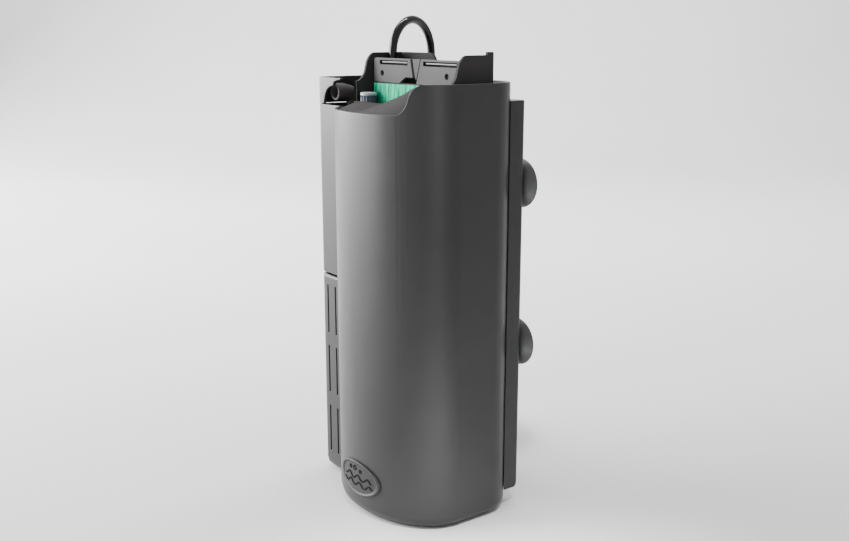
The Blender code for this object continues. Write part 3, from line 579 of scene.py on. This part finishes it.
def make_gland():
    """The ribbed strain relief on the pump."""
    low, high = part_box("cord_gland")
    centre = ((low[0] + high[0]) / 2 - ORIGIN.x, (low[1] + high[1]) / 2 - ORIGIN.y)
    profile = [(5.0, 44.35), (5.0, 46.6), (4.6, 47.0)]
    height = 47.4
    while height < 64.6:
        reach = 4.5 - 1.2 * (height - 47.4) / 17.2
        profile += [(reach, height), (reach, height + 1.0)]
        profile += [(reach - 0.5, height + 1.3), (reach - 0.5, height + 1.7)]
        height += 2.0
    profile += [(3.3, 65.4), (2.9, 65.6)]
    mesh = turned_mesh("gland", (centre[0] / MM, centre[1] / MM), profile, "Z", 40)
    return new_piece("strain_relief", mesh, "housing", "black_plastic", replaced=("cord_gland",))


# ---------------------------------------------------------------- pieces that replace plain solids


def make_mounting_plate():
    """The plate with the lower edge of its back rounded well."""
    low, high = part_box("mounting_plate")
    radius = 0.005
    plate = softened("mounting_plate", 0.0005, loose=True)
    data = bmesh.new()
    data.from_mesh(plate.data)
    for i in range(1, 8):
        height = low[2] + radius * (1 - math.cos(math.radians(90 * i / 7)))
        parts = [*data.verts, *data.edges, *data.faces]
        bmesh.ops.bisect_plane(data, geom=parts, plane_co=(0, 0, height), plane_no=(0, 0, 1))
    for vertex in data.verts:
        below = max(0.0, radius - (vertex.co.z - low[2]))
        inset = radius - math.sqrt(max(0.0, radius**2 - below**2))
        vertex.co.y = min(vertex.co.y, high[1] - inset)
    data.to_mesh(plate.data)
    data.free()


def make_suction_cups():
    profile = [
        (0, -5.5),
        (4.6, -5.5),
        (5.3, -5.1),
        (5.3, -2.7),
        (3.4, -2.6),
        (3.4, 0.3),
        (5.8, 0.45),
        (8.2, 0.9),
        (11.2, 2.1),
        (13.6, 4.1),
        (15.1, 6.0),
        (15.9, 7.4),
        (16.0, 7.8),
        (15.8, 8.0),
        (15.2, 7.85),
        (13.4, 6.3),
        (10.6, 4.9),
        (5.0, 3.9),
        (0, 3.8),
    ]
    number = 0
    for z in (110.0, 216.5):
        for x in (-39.0, 39.0):
            number += 1
            node = f"suction_cup_{number}"
            mesh = turned_mesh(node + "_skin", (x, z), profile, "Y", 64)
            cup = new_piece(node + "_skin", mesh, "housing", "suction_rubber", replaced=(node,))
            round_off = cup.modifiers.new("round", "SUBSURF")
            round_off.levels = round_off.render_levels = 1


def nose_y(x):
    """Depth of the rounded front at x, both in millimetres."""
    return -NOSE_START - NOSE_DEPTH * math.sqrt(max(0.0, 1 - (x / NOSE_HALF_WIDTH) ** 2))


def make_badge():
    """An oval plate that follows the rounded front, with a raised rim, waves and bubbles on it."""
    low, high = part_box("badge")
    centre_z = (low[2] + high[2]) / 2 / MM
    half_wide, half_high = (high[0] - low[0]) / 2 / MM, (high[2] - low[2]) / 2 / MM
    sides = 96
    levels = (
        (1.0, 0.35),
        (1.0, 1.15),
        (0.985, 1.4),
        (0.955, 1.48),
        (0.92, 1.42),
        (0.895, 1.2),
        (0.885, 0.95),
        (0.8, 0.9),
        (0.6, 0.9),
        (0.4, 0.9),
        (0.2, 0.9),
    )

    def build(data):
        rings = []
        for share, proud in levels:
            ring = []
            for i in range(sides):
                angle = 2 * math.pi * i / sides
                x = half_wide * share * math.cos(angle)
                z = centre_z + half_high * share * math.sin(angle)
                ring.append(data.verts.new(at(x, nose_y(x) - proud, z)))
            rings.append(ring)
        bridge(data, rings)
        tip = data.verts.new(at(0, nose_y(0) - 0.9, centre_z))
        for i in range(sides):
            data.faces.new((rings[-1][i], rings[-1][(i + 1) % sides], tip))

    plate = mesh_from(build, "badge_plate")
    new_piece("badge_plate", plate, "housing", "graphite_plastic", "satin_graphite", ("badge",))
    # The waves and bubbles are graphite like the plate but drawn near-black in slot_black: painted shade
    # for the shadows along the raised motif.
    for row, lift in enumerate((-4.0, 0.6)):
        path = []
        for i in range(61):
            x = (-15.5 + row) + (31.0 - 2 * row) * i / 60
            z = centre_z + lift + 1.5 * math.sin(x * 0.62 + row)
            path.append(at(x, nose_y(x) - 0.95, z))
        curve_piece(f"badge_wave_{row + 1}", path, 0.00055, "housing", "graphite_plastic", "slot_black")
    for number, (x, z, size) in enumerate(((-7.5, 6.0, 1.1), (-2.2, 6.6, 1.5), (4.0, 5.6, 1.0)), 1):
        ring = []
        for i in range(33):
            angle = 2 * math.pi * i / 32
            px = x + size * math.cos(angle)
            ring.append(at(px, nose_y(px) - 0.95, centre_z + z + size * math.sin(angle)))
        curve_piece(f"badge_bubble_{number}", ring, 0.0004, "housing", "graphite_plastic", "slot_black")


def make_flow_dial():
    """A fluted blue-grey knob under a pale translucent cap."""
    low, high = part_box("flow_dial")
    x = (low[0] + high[0]) / 2 - ORIGIN.x
    y = (low[1] + high[1]) / 2 - ORIGIN.y
    centre = (x / MM, y / MM)

    def build(data):
        levels = ((4.6, 262.0, 0.0), (5.2, 262.5, 0.3), (5.2, 269.9, 0.3), (4.7, 270.4, 0.0))
        rings = []
        for radius, height, flute in levels:
            ring = []
            for i in range(128):
                angle = 2 * math.pi * i / 128
                reach = radius + flute * math.cos(16 * angle)
                px = centre[0] + reach * math.cos(angle)
                py = centre[1] + reach * math.sin(angle)
                ring.append(data.verts.new(at(px, py, height)))
            rings.append(ring)
        bridge(data, rings)
        data.faces.new(rings[0])
        data.faces.new(rings[-1])

    knob = mesh_from(build, "dial_knob")
    new_piece("dial_knob", knob, "dial", "dial_plastic", replaced=("flow_dial",))
    profile = [
        (4.0, 270.45),
        (5.3, 270.6),
        (5.45, 271.0),
        (5.45, 272.2),
        (5.1, 272.75),
        (4.3, 272.95),
        (0, 272.95),
    ]
    cap = turned_mesh("dial_cap", centre, profile, "Z", 64)
    new_piece("dial_cap", cap, "dial", "dial_plastic", "clear_cap")


# ---------------------------------------------------------------- fleece, carbon and foam


def pad_mesh(name, node, crown, ridge, seed):
    """A closed pad in the node's box. Its two broad faces are crowned and carry upright ridges."""
    low, high = (Vector(corner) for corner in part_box(node))
    centre, half = (low + high) / 2, (high - low) / 2
    wide, tall = 150, 90

    def build(data):
        def surface(i, j, side):
            u, v = 2 * i / wide - 1, 2 * j / tall - 1
            edge = (1 - abs(u) ** 8) * (1 - abs(v) ** 8)
            x = centre.x + half.x * u
            z = centre.z + half.z * v
            broad = noise.noise(Vector((x * 900, seed, z * 60)))
            fine = noise.noise(Vector((x * 2400, seed, z * 300)))
            streak = broad + 0.5 * fine
            depth = half.y * (1 - crown) + half.y * crown * edge + ridge * (streak - 1.0) * 0.5
            return Vector((x, centre.y + side * max(depth, half.y * 0.3), z))

        def grid_of(side):
            rows = []
            for i in range(wide + 1):
                rows.append([data.verts.new(surface(i, j, side)) for j in range(tall + 1)])
            return rows

        grids = [grid_of(side) for side in (-1, 1)]
        for grid in grids:
            for i in range(wide):
                for j in range(tall):
                    corners = (grid[i][j], grid[i + 1][j], grid[i + 1][j + 1], grid[i][j + 1])
                    data.faces.new(corners)
        front, back = grids
        for i in range(wide):
            for j in (0, tall):
                data.faces.new((front[i][j], front[i + 1][j], back[i + 1][j], back[i][j]))
        for j in range(tall):
            for i in (0, wide):
                data.faces.new((front[i][j], front[i][j + 1], back[i][j + 1], back[i][j]))

    return mesh_from(build, name)


def make_media():
    for seed, node in enumerate(("fleece_front", "fleece_rear")):
        mesh = pad_mesh(node + "_pad", node, 0.35, 0.0007, 3.7 * seed)
        pad = new_piece(node + "_pad", mesh, "cartridge", "green_fleece", replaced=(node,))
    for seed, node in enumerate(("carbon_pad_left", "carbon_pad_right")):
        mesh = pad_mesh(node + "_fill", node, 0.15, 0.0006, 11.0 + seed)
        new_piece(node + "_fill", mesh, "cartridge", "activated_carbon", replaced=(node,))
    mesh = pad_mesh("bio_foam_block", "bio_foam", 0.03, 0.0012, 29.0)
    foam = new_piece("bio_foam_block", mesh, "housing", "filter_foam", replaced=("bio_foam",))


def tray_mesh(name, x, z, front, back, wall):
    """A shallow dish that opens towards the front, with round ends, in millimetres."""

    def outline(inset, y):
        radius = (z[1] - z[0]) / 2 - inset
        middle = (z[0] + z[1]) / 2
        ring = []
        for centre, start in ((x[1] - inset - radius, -90), (x[0] + inset + radius, 90)):
            for i in range(9):
                turn = math.radians(start + 22.5 * i)
                ring.append(at(centre + radius * math.cos(turn), y, middle + radius * math.sin(turn)))
        return ring

    def build(data):
        stations = ((wall, back - wall), (wall, front), (0.0, front), (0.0, back))
        rings = [[data.verts.new(place) for place in outline(*station)] for station in stations]
        bridge(data, rings)
        data.faces.new(rings[0])
        data.faces.new(rings[-1])

    return mesh_from(build, name)


def make_handle_details():
    """The recess behind each slot of the handle, coloured near-black as painted shade, with a pale rod in
    it.
    """
    for side, start, end in (("left", -39.1, -8.1), ("right", 8.7, 42.5)):
        # Each recess is grey plastic, drawn near-black in slot_black: painted shade for the shade inside
        # the slot.
        recess = tray_mesh(f"handle_recess_{side}", (start, end), (290.9, 293.5), -48.0, -46.15, 0.25)
        new_piece(f"handle_recess_{side}", recess, "cartridge", "grey_plastic", "slot_black")
        path = [at(start + 2.2, -47.3, 292.5), at(end - 1.2, -47.3, 292.5)]
        curve_piece(f"handle_rod_{side}", path, 0.00045, "cartridge", "grey_plastic", "pale_plastic")


# ---------------------------------------------------------------- stage and light


def make_stage():
    """A pale sweep: a floor that curves up into a wall behind the object."""
    turn = math.radians(CAMERA_AZIMUTH)
    away = Vector((-math.sin(turn), math.cos(turn), 0.0))
    across = Vector((math.cos(turn), math.sin(turn), 0.0))
    profile = [(-3.0, 0.0), (0.0, 0.0), (SWEEP_FLAT, 0.0)]
    for i in range(1, 13):
        bend = math.radians(90 * i / 12)
        cove = SWEEP_FLAT + SWEEP_COVE * math.sin(bend)
        profile.append((cove, SWEEP_COVE * (1 - math.cos(bend))))
    profile.append((SWEEP_FLAT + SWEEP_COVE, 3.2))

    def build(data):
        rows = []
        for side in (-4.0, 0.0, 4.0):
            row = []
            for along, up in profile:
                place = away * along + across * side
                row.append(data.verts.new((place.x, place.y, up - SWEEP_DROP)))
            rows.append(row)
        for one, two in zip(rows, rows[1:]):
            for i in range(len(profile) - 1):
                data.faces.new((one[i], one[i + 1], two[i + 1], two[i]))

    mesh = mesh_from(build, "sweep")
    sweep = bpy.data.objects.new("sweep", mesh)
    bpy.context.scene.collection.objects.link(sweep)
    material, tree, shader = new_material("pale_sweep")
    shader.inputs["Roughness"].default_value = 0.8
    shader.inputs["Specular IOR Level"].default_value = 0.2
    vary_colour(tree, shader, object_noise(tree, 3.0), FLOOR_DARK, FLOOR_LIGHT)
    mesh.materials.append(material)


def area_light(name, azimuth, distance, heights, width, radiance):
    """A soft box that faces the object, with its azimuth from -Y towards +X, in degrees."""
    data = bpy.data.lights.new(name, "AREA")
    data.shape = "RECTANGLE"
    data.size = width
    data.size_y = heights[1] - heights[0]
    data.energy = radiance * math.pi * data.size * data.size_y
    light = bpy.data.objects.new(name, data)
    bpy.context.scene.collection.objects.link(light)
    turn = math.radians(azimuth)
    middle = (heights[0] + heights[1]) / 2
    light.location = (distance * math.sin(turn), -distance * math.cos(turn), middle)
    aim = Vector((0.0, 0.0, AIM_HEIGHT)) - light.location
    light.rotation_euler = aim.to_track_quat("-Z", "Y").to_euler()
    return light


def make_lights():
    """A key from the left, a low fill at the right, a wash on the wall and a spot on the floor."""
    world = bpy.data.worlds.new("studio")
    world.use_nodes = True
    background = world.node_tree.nodes["Background"]
    background.inputs["Color"].default_value = (1.0, 1.0, 1.0, 1.0)
    background.inputs["Strength"].default_value = WORLD
    bpy.context.scene.world = world
    area_light("key_left", -53, 1.7, (0.10, 1.20), 2.4, KEY)
    area_light("fill_right", 70, 1.5, (0.02, 0.32), 0.6, FILL)
    wash = area_light("backdrop_wash", 233, 0.5, (1.5, 1.9), 1.6, WASH)
    aim = Vector(WASH_AIM) - wash.location
    wash.rotation_euler = aim.to_track_quat("-Z", "Y").to_euler()
    pool = bpy.data.lights.new("floor_pool", "SPOT")
    pool.energy = POOL
    pool.spot_size = math.radians(17)
    pool.spot_blend = 1.0
    pool.shadow_soft_size = 0.08
    lamp = bpy.data.objects.new("floor_pool", pool)
    bpy.context.scene.collection.objects.link(lamp)
    lamp.location = POOL_PLACE
    aim = Vector(POOL_AIM) - lamp.location
    lamp.rotation_euler = aim.to_track_quat("-Z", "Y").to_euler()


# ---------------------------------------------------------------- assembly


looks = make_materials()
make_camera()
plug_pieces = make_plug()
strain_relief = make_gland()
make_cord()
make_coil_tie()

for node, width in (
    ("outlet_cowl", 0.0006),
    ("pump_body", 0.001),
    ("pump_cover", 0.0005),
    ("pump_foot_1", 0.0006),
    ("pump_foot_2", 0.0006),
    ("pump_foot_3", 0.0006),
    ("pump_foot_4", 0.0006),
    ("inlet_grille", 0.00015),
    ("impeller_wheel", 0.00025),
    ("rotor_magnet", 0.0005),
    ("impeller_shaft", 0.0002),
    ("bush_front", 0.0002),
    ("bush_rear", 0.0002),
    ("riser_pipe", 0.0003),
    ("regulator_bracket", 0.0003),
    ("support_grid", 0.0005),
    ("media_basket", 0.0004),
    ("cartridge_frame", 0.0005),
    ("handle_clasp", 0.0002),
):
    softened(node, width)
softened("chamber_insert", 0.00025, "graphite_inner", split=True)
softened("outlet_nozzle", 0.0003, "dusty_black")
softened("shell_body", 0.0005, split=True, loose=True)
softened("intake_cover", 0.0003, split=True, loose=True)
softened("handle_leaf_left", 0.0003, split=True, loose=True)
softened("handle_leaf_right", 0.0003, split=True, loose=True)

make_mounting_plate()
make_suction_cups()
make_badge()
make_flow_dial()
make_media()
make_handle_details()
make_stage()
make_lights()
